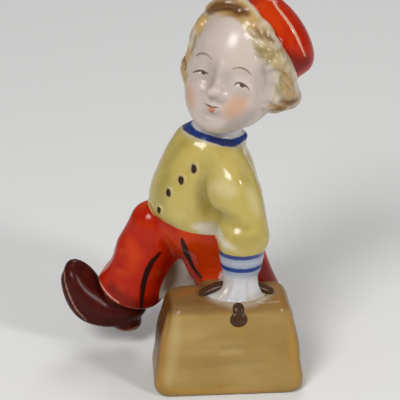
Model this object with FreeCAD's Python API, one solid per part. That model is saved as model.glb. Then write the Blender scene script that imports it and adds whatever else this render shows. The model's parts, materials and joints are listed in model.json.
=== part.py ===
import FreeCAD
import Part
import math
import os

from FreeCAD import Vector

# A glazed porcelain figurine of a child porter in stride, one hand on a travelling bag.
# Millimetres. The origin is the centre of the bag's base, +Z is up, the child walks
# toward -X, and the bag stands on the child's left, which is the -Y side.

# General
ring_points = 20
lens_shares = [
    (-1.0, 1.0),
    (0, 1.0),
    (0.55, 0.82),
    (0.90, 0.46),
    (1.0, 0.16),
]

# Travelling bag: rows are shares of its height, length and depth
bag_length = 36.1
bag_depth = 19.0
bag_height = 23.2
bag_corner = 3.6
bag_shares = [
    (0, 0.955, 0.93),
    (0.04, 0.995, 0.99),
    (0.15, 1.0, 1.0),
    (0.42, 0.955, 0.93),
    (0.68, 0.895, 0.86),
    (0.86, 0.835, 0.80),
    (0.95, 0.785, 0.73),
    (0.99, 0.73, 0.64),
    (1.0, 0.65, 0.53),
]

# Bag handle: a bowed strap whose ends are let into the bag's top
handle_length = 17.0
handle_width = 3.0
handle_thickness = 2.0
handle_rise = 2.6
handle_shares = [
    (0, 0.92, 0.92),
    (0.12, 1.0, 1.0),
    (0.5, 1.0, 1.0),
    (0.88, 1.0, 1.0),
    (1.0, 0.92, 0.92),
]

# Bag clasp: a plate over the front edge of the bag's top, with a drop below it
clasp_width = 2.8
clasp_height = 3.2
clasp_drop_width = 4.2
clasp_drop_height = 3.8
clasp_rise = 0.6
clasp_up_share = 0.965
clasp_drop_up_share = 0.87

# Left arm: hand on the bag's top, cuff, sleeve
hand_ahead = -2.1
hand_height = 6.0
hand_half_width = 7.0
hand_half_depth = 4.9
hand_wrist_ahead = -1.1
hand_shares = [
    (-0.20, 0.95, 0.92),
    (0, 1.0, 1.0),
    (0.22, 0.94, 0.95),
    (0.50, 0.76, 0.84),
    (0.75, 0.64, 0.76),
    (1.0, 0.61, 0.72),
    (1.4, 0.60, 0.70),
]
cuff_height = 5.3
cuff_half_width = 5.5
cuff_half_depth = 4.7
cuff_shares = [
    (0, 0.88, 0.88),
    (0.06, 0.90, 0.90),
    (0.5, 0.95, 0.95),
    (0.94, 1.0, 1.0),
    (1.0, 0.97, 0.97),
]
sleeve_half_width = 6.3
sleeve_half_depth = 5.7
sleeve_elbow_back = 2.4
sleeve_elbow_out = 0.7
sleeve_elbow_share = 0.489
shoulder_up_share = 0.84
shoulder_out_share = 0.5
sleeve_shares = [
    (-0.07, 0.30, 0.30),
    (-0.03, 0.60, 0.60),
    (0.04, 0.82, 0.82),
    (0.16, 0.93, 0.95),
    (0.36, 0.94, 0.98),
    (0.56, 0.91, 0.96),
    (0.68, 0.92, 0.93),
    (0.83, 1.0, 1.0),
    (0.93, 0.95, 0.95),
    (1.0, 0.86, 0.84),
]

# Right arm: it hangs along the far side of the body
right_wrist_out = 12.8
right_wrist_ahead = -5.0
right_wrist_drop = 28.0
right_elbow_back = 3.0
right_elbow_out = 1.6
right_hand_length = 9.0
right_hand_half_width = 4.0
right_hand_half_depth = 3.0
right_hand_shares = [
    (-0.15, 0.80, 0.86),
    (0.12, 0.84, 0.90),
    (0.42, 1.0, 1.0),
    (0.70, 0.92, 0.90),
    (0.88, 0.66, 0.66),
    (0.97, 0.36, 0.36),
    (1.0, 0.12, 0.12),
]

# Body: the child's middle plane, the place of the hem and the backward lean
body_out = 13.8
hem_ahead = 7.3
hem_height = 37.3
body_lean_degrees = 14.5

# Jacket: rows are shares of its length from the hem, its half sizes and its belly
jacket_length = 24.0
jacket_half_length = 11.0
jacket_half_width = 9.7
jacket_belly = 1.2
jacket_shares = [
    (0, 0.88, 0.7),
    (0.035, 0.94, 0.8),
    (0.12, 0.99, 0.9),
    (0.30, 1.0, 1.0),
    (0.47, 0.965, 0.92),
    (0.66, 0.905, 0.83),
    (0.82, 0.82, 0.7),
    (0.92, 0.73, 0.5),
    (0.955, 0.63, 0.35),
    (0.975, 0.52, 0.2),
]

# Jacket buttons: a row that turns with the chest, in degrees from straight ahead
button_half_length = 1.35
button_half_width = 1.1
button_rise = 0.5
button_up_shares = [0.66, 0.505, 0.335, 0.12]
button_turn_degrees = [69.0, 58.0, 47.0, 39.0]

# Collar and neck
collar_half_length = 7.5
collar_half_width = 6.7
collar_height = 2.0
collar_level_degrees = 4.0
collar_shares = [
    (-0.90, 0.93),
    (-0.70, 0.99),
    (-0.35, 1.0),
    (-0.05, 0.95),
    (0.10, 0.86),
]
neck_half_length = 5.4
neck_half_width = 5.2
neck_shares = [
    (-0.10, 1.0),
    (0.50, 0.94),
    (1.0, 0.90),
]

# Head: its place above the collar, its turn, and shares of its half sizes
head_back = 4.4
head_out = -2.8
head_rise = 17.5
head_yaw_degrees = 20.0
head_pitch_degrees = 12.0
head_roll_degrees = 14.0
head_half_height = 16.2
head_half_width = 11.6
head_half_depth = 12.4
head_shares = [
    (-1.0, 0.42, 0.16, 0.14),
    (-0.95, 0.36, 0.38, 0.36),
    (-0.84, 0.24, 0.60, 0.60),
    (-0.66, 0.12, 0.80, 0.78),
    (-0.42, 0.04, 0.95, 0.92),
    (-0.15, 0, 1.0, 0.98),
    (0.18, 0, 0.99, 1.0),
    (0.50, 0, 0.88, 0.90),
    (0.78, 0, 0.63, 0.66),
    (0.94, 0, 0.34, 0.36),
    (1.0, 0, 0.12, 0.12),
]
nose_half_width = 1.3
nose_half_height = 1.5
nose_rise = 1.3
nose_aside = 0.6
nose_up_share = -0.31
nose_root_share = 0.95

# Hair: a mop over the skull that flips out at the nape, open round the face.
# Rows are shares of its half height above the head's centre, its shift to the left and
# to the back, and its half width and half depth
hair_half_height = 17.0
hair_half_width = 13.8
hair_half_depth = 14.2
hair_shares = [
    (-0.52, 0.14, 0.30, 0.45, 0.45),
    (-0.45, 0.15, 0.28, 0.72, 0.72),
    (-0.34, 0.14, 0.24, 0.97, 0.95),
    (-0.22, 0.11, 0.20, 1.02, 1.02),
    (-0.08, 0.07, 0.15, 1.0, 1.01),
    (0.12, 0.05, 0.10, 1.0, 1.0),
    (0.35, 0.05, 0.08, 0.95, 0.97),
    (0.68, 0.05, 0.08, 0.77, 0.80),
    (0.88, 0.05, 0.08, 0.53, 0.55),
    (0.97, 0.04, 0.08, 0.31, 0.31),
    (1.0, 0.04, 0.08, 0.12, 0.12),
]
face_half_width = 9.8
face_half_height = 16.4
face_down = 2.2
face_side = 0.6
face_roll_degrees = 9.0

# Forelock: a roll of hair along the top of the face, swept from the parting
forelock_half_width = 1.6
forelock_start_share = -0.95
forelock_bend_share = -0.46
forelock_end_share = 0.15
forelock_start_up_share = 0.67
forelock_bend_up_share = 1.12
forelock_end_up_share = 0.95
forelock_front_share = 0.52
forelock_shares = [
    (0, 0.20),
    (0.06, 0.55),
    (0.22, 0.88),
    (0.50, 1.0),
    (0.76, 0.92),
    (0.93, 0.60),
    (1.0, 0.22),
]

# Cap: a pillbox worn on the back left of the head
cap_radius = 10.8
cap_height = 8.7
cap_band_height = 4.3
cap_band_wall = 1.1
cap_seat = 8.8
cap_tilt_degrees = 42.5
cap_heading_degrees = 36.2
cap_dome_shares = [
    (0.985, 0),
    (0.90, 0.36),
    (0.58, 0.78),
    (0.26, 0.95),
    (0, 1.0),
]

# Trousers: the seat under the jacket and the two legs
seat_depth = 9.5
seat_shares = [
    (-1.0, 0.20),
    (-0.92, 0.42),
    (-0.68, 0.68),
    (-0.35, 0.84),
    (0, 0.90),
    (0.25, 0.88),
]
hip_inset = 2.0
front_hip_ahead = 10.0
front_knee_reach = 10.6
front_knee_drop = 7.7
front_shin_reach = 2.1
front_shin_drop = 13.1
front_shin_splay = 3.7
front_leg_half_length = 8.65
front_leg_half_width = 7.2
front_hem_tilt_degrees = 16.0
front_hem_slant_degrees = 30.0
front_leg_shares = [
    (0, 0.55, 0.70),
    (0.15, 0.66, 0.86),
    (0.35, 0.77, 0.92),
    (0.55, 0.78, 0.86),
    (0.75, 0.82, 0.90),
    (0.90, 0.92, 0.97),
    (0.98, 1.0, 1.0),
    (1.0, 0.97, 0.96),
]
rear_hem_back = 8.4
rear_hem_splay = 0.8
rear_hem_height = 7.5
rear_hip_ahead = 2.0
rear_hip_inward = 1.8
rear_knee_back = 0.4
rear_knee_drop = 13.3
rear_leg_half_length = 10.4
rear_leg_half_width = 7.6
rear_leg_shares = [
    (-0.05, 0.74, 0.88),
    (0.12, 0.80, 0.95),
    (0.35, 0.82, 0.95),
    (0.52, 0.87, 0.92),
    (0.68, 0.97, 0.94),
    (0.80, 0.95, 0.97),
    (0.97, 0.80, 0.98),
    (1.0, 0.78, 0.95),
]

# Web of clay between the legs
web_thickness = 5.0
web_bottom = 14.5
web_front_share = 0.80
web_back_share = 0.10

# Shoes: the near-level rear shoe and the front shoe with its toe raised
shoe_half_width = 4.9
shoe_half_height = 4.6
shoe_shares = [
    (-0.07, 0.30, 0.28),
    (-0.03, 0.60, 0.50),
    (0.06, 0.86, 0.70),
    (0.25, 0.96, 0.82),
    (0.50, 1.0, 1.0),
    (0.70, 0.96, 0.88),
    (0.86, 0.80, 0.66),
    (0.96, 0.54, 0.44),
    (1.0, 0.24, 0.20),
]
ankle_ahead = 5.0
ankle_height = 9.0
ankle_half_length = 3.4
ankle_half_width = 3.4
ankle_shares = [
    (0, 1.0),
    (1.0, 0.9),
]
sole_thickness = 0.8
sole_flat = 0.8
sole_half_width = 4.4
sole_drop_share = 0.6
heel_half_length = 3.7
heel_half_width = 3.6
heel_height = 3.4
heel_shares = [
    (0, 0.88),
    (0.12, 0.95),
    (0.8, 1.0),
    (1.6, 1.0),
]
front_heel_block_reach = 1.3
front_heel_block_drop = 11.1
front_toe_reach = 15.1
front_toe_rise = 6.5
front_toe_splay = 1.4
front_heel_back = 1.5
front_heel_inward = 0.5
front_heel_drop = 5.3
front_ball_reach = 12.3
front_ball_drop = 8.3
rear_toe_reach = 15.9
rear_heel_back = 8.1
rear_heel_block_back = 3.1


class Frame:
    """A place with its own side, front and up directions."""

    def __init__(self, origin, side, front, up):
        self.origin = origin
        self.side = side
        self.front = front
        self.up = up

    def at(self, side, front, up):
        return self.origin + self.side * side + self.front * front + self.up * up


def turned(vector, axis, degrees):
    return FreeCAD.Rotation(axis, degrees).multVec(vector)


def ring(frame, side, front, up, half_side, half_front):
    """A smooth closed curve round a centre given in the frame."""
    points = []
    for step in range(ring_points):
        turn = math.tau * step / ring_points
        across = side + half_side * math.cos(turn)
        along = front + half_front * math.sin(turn)
        points.append(frame.at(across, along, up))
    curve = Part.BSplineCurve()
    curve.interpolate(Points=points, PeriodicFlag=True)
    return Part.Wire(curve.toShape())


def loft(wires):
    return Part.makeLoft(wires, True, False)


def column(frame, length, half_side, half_front, shares):
    """A loft along the frame's up direction."""
    rings = []
    for up_share, side_share, front_share in shares:
        rings.append(ring(frame, 0, 0, length * up_share,
                          half_side * side_share, half_front * front_share))
    return loft(rings)


def paired(shares):
    """Rows whose one size share serves both ways across."""
    return [(along, size, size) for along, size in shares]


def limb(start, bend, end, across, half_across, half_deep, shares, end_facing=None):
    """A loft along the curve from start to end that leans toward bend."""
    rings = []
    for along, across_share, deep_share in shares:
        back = 1 - along
        place = start * (back * back) + bend * (2 * along * back) + end * (along * along)
        facing = (bend - start) * back + (end - bend) * along
        facing.normalize()
        if end_facing:
            blend = min(max(along, 0), 1) ** 2
            facing = facing * (1 - blend) + end_facing * blend
            facing.normalize()
        deep = facing.cross(across)
        deep.normalize()
        level = deep.cross(facing)
        frame = Frame(place, level, deep, facing)
        rings.append(ring(frame, 0, 0, 0, half_across * across_share, half_deep * deep_share))
    return loft(rings)


def less(solid, *others):
    """The solid without what its neighbours fill."""
    for other in others:
        solid = solid.cut(other)
    return solid


def rounded_rectangle(half_length, half_depth, corner, height):
    """A level outline with rounded corners, as one wire."""
    flat_length = half_length - corner
    flat_depth = half_depth - corner
    slant = corner * math.sqrt(0.5)
    edges = []
    turns = [(1, 1), (-1, 1), (-1, -1), (1, -1)]
    for x, y in turns:
        centre = Vector(x * flat_length, y * flat_depth, height)
        first = centre + Vector(x * corner, 0, 0)
        middle = centre + Vector(x * slant, y * slant, 0)
        last = centre + Vector(0, y * corner, 0)
        if x * y < 0:
            first, last = last, first
        edges.append((first, middle, last))
    pieces = []
    for index, (first, middle, last) in enumerate(edges):
        after = edges[(index + 1) % len(edges)][0]
        pieces.append(Part.Arc(first, middle, last).toShape())
        pieces.append(Part.makeLine(last, after))
    return Part.Wire(pieces)


# Directions shared by the pieces
UP = Vector(0, 0, 1)
AHEAD = Vector(-1, 0, 0)
OUT = Vector(0, 1, 0)


def body_place(ahead, out, height):
    """A place given ahead of the bag's centre, out from it and above the ground."""
    return AHEAD * ahead + OUT * out + UP * height


def torso_frame():
    up = turned(UP, OUT, body_lean_degrees)
    front = turned(AHEAD, OUT, body_lean_degrees)
    return Frame(body_place(hem_ahead, body_out, hem_height), OUT, front, up)


def collar_frame():
    torso = torso_frame()
    front = turned(torso.front, torso.side, -collar_level_degrees)
    up = turned(torso.up, torso.side, -collar_level_degrees)
    return Frame(torso.at(0, 0, jacket_length), torso.side, front, up)


def head_frame():
    collar = collar_frame().origin
    centre = collar + body_place(-head_back, head_out, head_rise)
    facing = turned(turned(-OUT, Vector(1, 0, 0), -head_pitch_degrees), UP, -head_yaw_degrees)
    side = turned(Vector(1, 0, 0), UP, -head_yaw_degrees)
    up = side.cross(-facing)
    up.normalize()
    side = turned(side, facing, -head_roll_degrees)
    up = turned(up, facing, -head_roll_degrees)
    return Frame(centre, side, facing, up)


# Bag
def make_bag_body():
    wires = []
    for up_share, length_share, depth_share in bag_shares:
        wires.append(rounded_rectangle(bag_length * length_share / 2, bag_depth * depth_share / 2,
                                       bag_corner * depth_share, bag_height * up_share))
    return loft(wires)


def make_bag_handle(bag):
    middle = body_place(hand_ahead, 0, bag_height)
    reach = AHEAD * (handle_length / 2)
    crest = middle + UP * (2 * handle_rise)
    strap = limb(middle + reach, crest, middle - reach, OUT,
                 handle_width / 2, handle_thickness / 2, handle_shares)
    return less(strap, bag)


def bag_face_frame(up_share):
    """A place on the bag's front wall at a share of its height, facing outward."""
    below = max(row for row in bag_shares if row[0] <= up_share)
    above = min(row for row in bag_shares if row[0] > up_share)
    mix = (up_share - below[0]) / (above[0] - below[0])
    depth_share = below[2] + (above[2] - below[2]) * mix
    outward = Vector(0, -(above[0] - below[0]) * bag_height,
                     (below[2] - above[2]) * bag_depth / 2)
    outward.normalize()
    centre = body_place(hand_ahead, -bag_depth * depth_share / 2, bag_height * up_share)
    side = Vector(1, 0, 0)
    return Frame(centre, side, outward.cross(side), outward)


def lens(frame, half_side, half_front, rise):
    """A domed plate on a surface, with its foot carried below the surface."""
    rings = []
    for up_share, size_share in lens_shares:
        rings.append(ring(frame, 0, 0, rise * up_share, half_side * size_share,
                          half_front * size_share))
    return loft(rings)


def make_bag_clasp(bag):
    plate = lens(bag_face_frame(clasp_up_share), clasp_width / 2, clasp_height / 2, clasp_rise)
    drop = lens(bag_face_frame(clasp_drop_up_share), clasp_drop_width / 2,
                clasp_drop_height / 2, clasp_rise)
    return less(plate.fuse(drop), bag)


# Left arm
def wrist_place():
    return body_place(hand_ahead + hand_wrist_ahead, 0, bag_height + hand_height)


def make_left_hand(bag, handle, cuff):
    base = body_place(hand_ahead, 0, bag_height)
    rings = []
    for up_share, width_share, depth_share in hand_shares:
        place = base + (wrist_place() - base) * up_share
        frame = Frame(place, OUT, AHEAD, UP)
        rings.append(ring(frame, 0, 0, 0, hand_half_depth * depth_share,
                          hand_half_width * width_share))
    return less(loft(rings), cuff, bag, handle)


def make_left_cuff():
    frame = Frame(wrist_place(), OUT, AHEAD, UP)
    return column(frame, cuff_height, cuff_half_depth, cuff_half_width, cuff_shares)


def shoulder_place(way):
    """The top of a sleeve: way is 1 on the far side of the body and -1 on the near side."""
    return torso_frame().at(way * jacket_half_width * shoulder_out_share, 0,
                            jacket_length * shoulder_up_share)


def make_sleeve(shoulder, elbow, wrist, across):
    return limb(shoulder, elbow, wrist, across, sleeve_half_width, sleeve_half_depth,
                sleeve_shares, -UP)


def make_left_sleeve(*others):
    wrist = wrist_place() + UP * cuff_height
    shoulder = shoulder_place(-1)
    elbow = wrist + Vector(sleeve_elbow_back, sleeve_elbow_out,
                           (shoulder.z - wrist.z) * sleeve_elbow_share)
    return less(make_sleeve(shoulder, elbow, wrist, AHEAD), *others)


# Right arm
def right_wrist():
    shoulder = shoulder_place(1)
    return body_place(right_wrist_ahead, body_out + right_wrist_out,
                      shoulder.z - right_wrist_drop)


def make_right_cuff():
    frame = Frame(right_wrist(), OUT, AHEAD, UP)
    return column(frame, cuff_height, cuff_half_depth, cuff_half_width, cuff_shares)


def make_right_sleeve(*others):
    wrist = right_wrist() + UP * cuff_height
    shoulder = shoulder_place(1)
    elbow = (shoulder + wrist) * 0.5 + Vector(right_elbow_back, right_elbow_out, 0)
    return less(make_sleeve(shoulder, elbow, wrist, AHEAD), *others)


def make_right_hand(cuff, *others):
    frame = Frame(right_wrist(), OUT, AHEAD, -UP)
    hand = column(frame, right_hand_length, right_hand_half_depth, right_hand_half_width,
                  right_hand_shares)
    return less(hand, cuff, *others)


# Jacket, buttons, collar and neck
def jacket_row(up_share):
    """The jacket's size and belly shares at a share of its length."""
    below = max(row for row in jacket_shares if row[0] <= up_share)
    above = min(row for row in jacket_shares if row[0] > up_share)
    mix = (up_share - below[0]) / (above[0] - below[0])
    size = below[1] + (above[1] - below[1]) * mix
    belly = below[2] + (above[2] - below[2]) * mix
    return size, belly


def make_jacket(*others):
    frame = torso_frame()
    rings = []
    for up_share, size_share, belly_share in jacket_shares:
        rings.append(ring(frame, 0, jacket_belly * belly_share, jacket_length * up_share,
                          jacket_half_width * size_share, jacket_half_length * size_share))
    return less(loft(rings), *others)


def make_jacket_button(up_share, degrees, *others):
    turn = math.radians(degrees)
    size, belly = jacket_row(up_share)
    torso = torso_frame()
    place = torso.at(-jacket_half_width * size * math.sin(turn),
                     jacket_half_length * size * math.cos(turn) + jacket_belly * belly,
                     jacket_length * up_share)
    outward = torso.front * math.cos(turn) - torso.side * math.sin(turn)
    side = torso.up.cross(outward)
    frame = Frame(place, side, torso.up, outward)
    return less(lens(frame, button_half_width, button_half_length, button_rise), *others)


def make_neck(*others):
    start = collar_frame().origin
    end = head_frame().origin
    up = end - start
    length = up.Length
    up.normalize()
    side = up.cross(AHEAD)
    side.normalize()
    frame = Frame(start, side, side.cross(up), up)
    neck = column(frame, length, neck_half_width, neck_half_length, paired(neck_shares))
    return less(neck, *others)


def make_collar(*others):
    frame = collar_frame()
    band = column(frame, collar_height, collar_half_width, collar_half_length,
                  paired(collar_shares))
    return less(band, *others)


# Head, hair and cap
def make_head():
    frame = head_frame()
    rings = []
    for up_share, front_share, width_share, depth_share in head_shares:
        rings.append(ring(frame, 0, head_half_depth * front_share, head_half_height * up_share,
                          head_half_width * width_share, head_half_depth * depth_share))
    skull = loft(rings)
    height = head_half_height * nose_up_share
    root = frame.at(-nose_aside, head_half_depth * nose_root_share, height)
    nose_frame = Frame(root, frame.side, frame.up, frame.front)
    nose = lens(nose_frame, nose_half_width, nose_half_height, nose_rise)
    return skull.fuse(nose)


def make_hair_form():
    frame = head_frame()
    rings = []
    for up_share, side_share, back_share, width_share, depth_share in hair_shares:
        rings.append(ring(frame, hair_half_width * side_share, -hair_half_depth * back_share,
                          hair_half_height * up_share, hair_half_width * width_share,
                          hair_half_depth * depth_share))
    return loft(rings)


def make_face_opening():
    """The egg-shaped way through the hair to the face, from mid-head forward."""
    head = head_frame()
    side = turned(head.side, head.front, face_roll_degrees)
    up = turned(head.up, head.front, face_roll_degrees)
    frame = Frame(head.at(-face_side, 0, -face_down), side, up, head.front)
    near = ring(frame, 0, 0, 0, face_half_width, face_half_height)
    far = ring(frame, 0, 0, head_half_depth + hair_half_depth, face_half_width, face_half_height)
    return loft([near, far])


def make_cap_space():
    """All that lies beyond the cap's rim, where no hair shows."""
    frame = cap_frame()
    return Part.makeCylinder(hair_half_width + hair_half_depth, hair_half_height,
                             frame.origin, frame.up)


def make_forelock(*others):
    frame = head_frame()

    def hairline(side_share, up_share):
        return frame.at(face_half_width * side_share, head_half_depth * forelock_front_share,
                        (face_half_height - face_down) * up_share)

    start = hairline(forelock_start_share, forelock_start_up_share)
    bend = hairline(forelock_bend_share, forelock_bend_up_share)
    end = hairline(forelock_end_share, forelock_end_up_share)
    roll = limb(start, bend, end, frame.front, forelock_half_width, forelock_half_width,
                paired(forelock_shares))
    return less(roll, *others)


def cap_frame():
    """The cap's rim plane, square to a line that leaves the head's centre."""
    head = head_frame()
    heading = turned(head.side, head.up, cap_heading_degrees)
    up = turned(head.up, head.up.cross(heading), cap_tilt_degrees)
    side = up.cross(head.front)
    side.normalize()
    return Frame(head.origin + up * cap_seat, side, side.cross(up), up)


def revolved(frame, profile):
    """A solid of revolution about the frame's up, from edges of radius and height."""
    face = Part.Face(Part.Wire(profile))
    return face.revolve(frame.origin, frame.up, 360)


def profile_line(frame, start, end):
    return Part.makeLine(frame.at(start[0], 0, start[1]), frame.at(end[0], 0, end[1]))


def make_cap_crown():
    frame = cap_frame()
    plug = cap_radius - cap_band_wall
    dome = cap_height - cap_band_height
    points = []
    for radius_share, rise_share in cap_dome_shares:
        points.append(frame.at(cap_radius * radius_share, 0, cap_band_height + dome * rise_share))
    curve = Part.BSplineCurve()
    curve.interpolate(points)
    edge = cap_radius * cap_dome_shares[0][0]
    profile = [
        profile_line(frame, (0, 0), (plug, 0)),
        profile_line(frame, (plug, 0), (plug, cap_band_height)),
        profile_line(frame, (plug, cap_band_height), (edge, cap_band_height)),
        curve.toShape(),
        profile_line(frame, (0, cap_height), (0, 0)),
    ]
    return revolved(frame, profile)


def make_cap_band():
    frame = cap_frame()
    plug = cap_radius - cap_band_wall
    corners = [(plug, 0), (cap_radius, 0), (cap_radius, cap_band_height), (plug, cap_band_height)]
    profile = []
    for index, corner in enumerate(corners):
        profile.append(profile_line(frame, corner, corners[(index + 1) % len(corners)]))
    return revolved(frame, profile)


# Trousers and the web between the legs
def make_trousers_seat(*others):
    frame = torso_frame()
    seat = column(frame, seat_depth, jacket_half_width, jacket_half_length, paired(seat_shares))
    return less(seat, *others)


def front_knee():
    """Where the front leg bends, ahead of its hip and below the jacket's hem."""
    return body_place(front_hip_ahead + front_knee_reach, body_out,
                      hem_height - front_knee_drop)


def front_hem():
    """The centre of the front trouser hem."""
    return front_knee() + body_place(front_shin_reach, front_shin_splay, -front_shin_drop)


def rear_hem():
    """The centre of the rear trouser hem."""
    return body_place(-rear_hem_back, body_out + rear_hem_splay, rear_hem_height)


def make_front_leg(*others):
    start = body_place(front_hip_ahead, body_out, hem_height + hip_inset)
    bend = front_knee() + OUT * (front_shin_splay / 2)
    facing = turned(turned(-UP, OUT, front_hem_tilt_degrees), Vector(1, 0, 0),
                    front_hem_slant_degrees)
    leg = limb(start, bend, front_hem(), OUT, front_leg_half_width, front_leg_half_length,
               front_leg_shares, facing)
    return less(leg, *others)


def make_rear_leg(*others):
    hip_out = body_out - rear_hip_inward
    start = body_place(rear_hip_ahead, hip_out, hem_height + hip_inset)
    bend = body_place(-rear_knee_back, hip_out, hem_height - rear_knee_drop)
    leg = limb(start, bend, rear_hem(), OUT, rear_leg_half_width, rear_leg_half_length,
               rear_leg_shares, -UP)
    return less(leg, *others)


def make_leg_web(*others):
    front_x = front_hem().x * web_front_share
    back_x = rear_hem().x * web_back_share
    plate = Part.makeBox(back_x - front_x, web_thickness, front_knee().z - web_bottom,
                         Vector(front_x, body_out, web_bottom))
    return less(plate, *others)


# Shoes
def front_shoe_places():
    hem = front_hem()
    heel = hem + body_place(-front_heel_back, -front_heel_inward, -front_heel_drop)
    ball = hem + body_place(front_ball_reach, -front_heel_inward, -front_ball_drop)
    toe = heel + body_place(front_heel_back + front_toe_reach, front_toe_splay,
                            front_heel_drop + front_toe_rise)
    return heel, ball, toe


def rear_shoe_places():
    height = shoe_half_height + sole_thickness - sole_flat
    heel = rear_hem() + body_place(-rear_heel_back, 0, 0)
    toe = rear_hem() + body_place(rear_toe_reach, 0, 0)
    heel.z = height
    toe.z = height
    return heel, (heel + toe) * 0.5, toe


def shoe_form(places, shift, half_width, half_height):
    heel, ball, toe = places
    return limb(heel + shift, ball + shift, toe + shift, OUT, half_width, half_height,
                shoe_shares)


def make_upper(places):
    """The shoe and the ankle that stands in it, up into the trouser leg."""
    shoe = shoe_form(places, Vector(0, 0, 0), shoe_half_width, shoe_half_height)
    frame = Frame(places[0] + AHEAD * ankle_ahead, OUT, AHEAD, UP)
    ankle = column(frame, ankle_height, ankle_half_width, ankle_half_length,
                   paired(ankle_shares))
    return shoe.fuse(ankle)


def make_sole(places, heel_place, upper):
    """The welted layer under the upper, with the heel block below it."""
    heel, ball, toe = places
    along = toe - heel
    along.normalize()
    drop = shoe_half_height * sole_drop_share
    layer = shoe_form(places, along.cross(OUT) * drop, sole_half_width,
                      shoe_half_height + sole_thickness - drop)
    frame = Frame(heel_place, OUT, AHEAD, UP)
    block = column(frame, heel_height, heel_half_width, heel_half_length, paired(heel_shares))
    return less(layer.fuse(block), upper)


def make_ground():
    """The space below the ground, which flattens the rear sole."""
    reach = bag_length + jacket_length
    return Part.makeBox(reach * 2, reach * 2, bag_height, Vector(-reach, -reach, -bag_height))


def save(name, solid):
    Part.makeCompound(solid.Solids).exportStep(os.path.join("parts", name + ".step"))
    print(name, len(solid.Solids), round(solid.Volume, 1))


def make_shoes(front_leg, rear_leg, bag):
    """The uppers and soles of both feet, each seated under its trouser leg."""
    front_upper = make_upper(front_shoe_places())
    front_block = front_hem() + body_place(front_heel_block_reach, -front_heel_inward,
                                           -front_heel_block_drop)
    front_sole = make_sole(front_shoe_places(), front_block, front_upper)
    rear_upper = make_upper(rear_shoe_places())
    rear_block = rear_hem() + body_place(-rear_heel_block_back, 0, -rear_hem_height)
    rear_sole = make_sole(rear_shoe_places(), rear_block, rear_upper)
    return {
        "front_shoe": less(front_upper, front_leg),
        "front_sole": less(front_sole, front_leg),
        "rear_shoe": less(rear_upper, rear_leg, bag),
        "rear_sole": less(rear_sole, rear_leg, bag, make_ground()),
    }


def main():
    os.makedirs("parts", exist_ok=True)
    bag = make_bag_body()
    handle = make_bag_handle(bag)
    crown = make_cap_crown()
    band = make_cap_band()
    cap = [crown, band, make_cap_space()]
    head = less(make_head(), *cap)
    neck = make_neck(head)
    collar = make_collar(head, neck)
    left_cuff = make_left_cuff()
    left_hand = make_left_hand(bag, handle, left_cuff)
    left_sleeve = make_left_sleeve(left_cuff, neck, collar)
    right_cuff = make_right_cuff()
    right_sleeve = make_right_sleeve(right_cuff, neck, collar, left_sleeve)
    arms = [left_cuff, left_hand, left_sleeve, right_cuff, right_sleeve]
    jacket = make_jacket(neck, collar, *arms)
    hair = less(make_hair_form(), make_face_opening(), head, neck, collar, jacket, *cap)
    seat = make_trousers_seat(jacket, *arms)
    front_leg = make_front_leg(jacket, seat, bag, *arms)
    rear_leg = make_rear_leg(jacket, seat, front_leg, bag, *arms)
    pieces = make_shoes(front_leg, rear_leg, bag)
    web = make_leg_web(front_leg, rear_leg, seat, jacket, bag, *pieces.values())
    pieces.update({
        "bag_body": bag,
        "bag_handle": handle,
        "bag_clasp": make_bag_clasp(bag),
        "left_hand": left_hand,
        "left_cuff": left_cuff,
        "left_sleeve": left_sleeve,
        "right_hand": make_right_hand(right_cuff, jacket, seat, front_leg, rear_leg),
        "right_cuff": right_cuff,
        "right_sleeve": right_sleeve,
        "jacket": jacket,
        "collar": collar,
        "neck": neck,
        "head": head,
        "hair": hair,
        "forelock": make_forelock(head, hair, *cap),
        "cap_crown": crown,
        "cap_band": band,
        "trousers_seat": seat,
        "front_leg": front_leg,
        "rear_leg": rear_leg,
        "leg_web": web,
    })
    for number, (up_share, degrees) in enumerate(zip(button_up_shares, button_turn_degrees), 1):
        pieces["jacket_button_%d" % number] = make_jacket_button(
            up_share, degrees, jacket, left_sleeve)
    for name, solid in pieces.items():
        save(name, solid)


main()
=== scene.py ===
import json
import math

import bpy
import numpy as np
import openvdb
from mathutils import Matrix, Vector


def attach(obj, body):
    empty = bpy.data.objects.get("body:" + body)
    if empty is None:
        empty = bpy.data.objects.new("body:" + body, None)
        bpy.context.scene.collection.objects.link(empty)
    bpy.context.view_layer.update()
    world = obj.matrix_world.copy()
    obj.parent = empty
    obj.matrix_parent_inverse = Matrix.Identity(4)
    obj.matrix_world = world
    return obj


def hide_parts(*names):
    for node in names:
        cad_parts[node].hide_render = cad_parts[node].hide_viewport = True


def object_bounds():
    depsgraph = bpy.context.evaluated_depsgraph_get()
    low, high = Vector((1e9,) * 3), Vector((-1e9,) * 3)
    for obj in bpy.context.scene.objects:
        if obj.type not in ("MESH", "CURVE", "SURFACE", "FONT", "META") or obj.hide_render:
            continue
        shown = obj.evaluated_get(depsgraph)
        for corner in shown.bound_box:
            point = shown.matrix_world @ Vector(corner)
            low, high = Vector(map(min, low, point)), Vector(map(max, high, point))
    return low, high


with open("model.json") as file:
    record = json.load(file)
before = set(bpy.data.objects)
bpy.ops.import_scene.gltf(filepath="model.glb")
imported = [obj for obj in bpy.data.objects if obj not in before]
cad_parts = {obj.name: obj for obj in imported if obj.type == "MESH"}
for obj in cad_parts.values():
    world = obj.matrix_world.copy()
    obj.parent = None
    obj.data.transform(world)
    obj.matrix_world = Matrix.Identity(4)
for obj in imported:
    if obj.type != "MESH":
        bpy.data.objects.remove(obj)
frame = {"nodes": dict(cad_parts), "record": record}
cad_box = [list(corner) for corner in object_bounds()]

# Lengths in the fields are millimetres, and objects are metres
MM = 0.001
# The grid's step, and the distance up to which the field is kept
VOXEL = 0.25
BAND = 3.0
# How far slip and glaze round the edges off, and how far at the shoulders and the seat
SOFT = 0.55
SOFTER = 1.5
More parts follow.
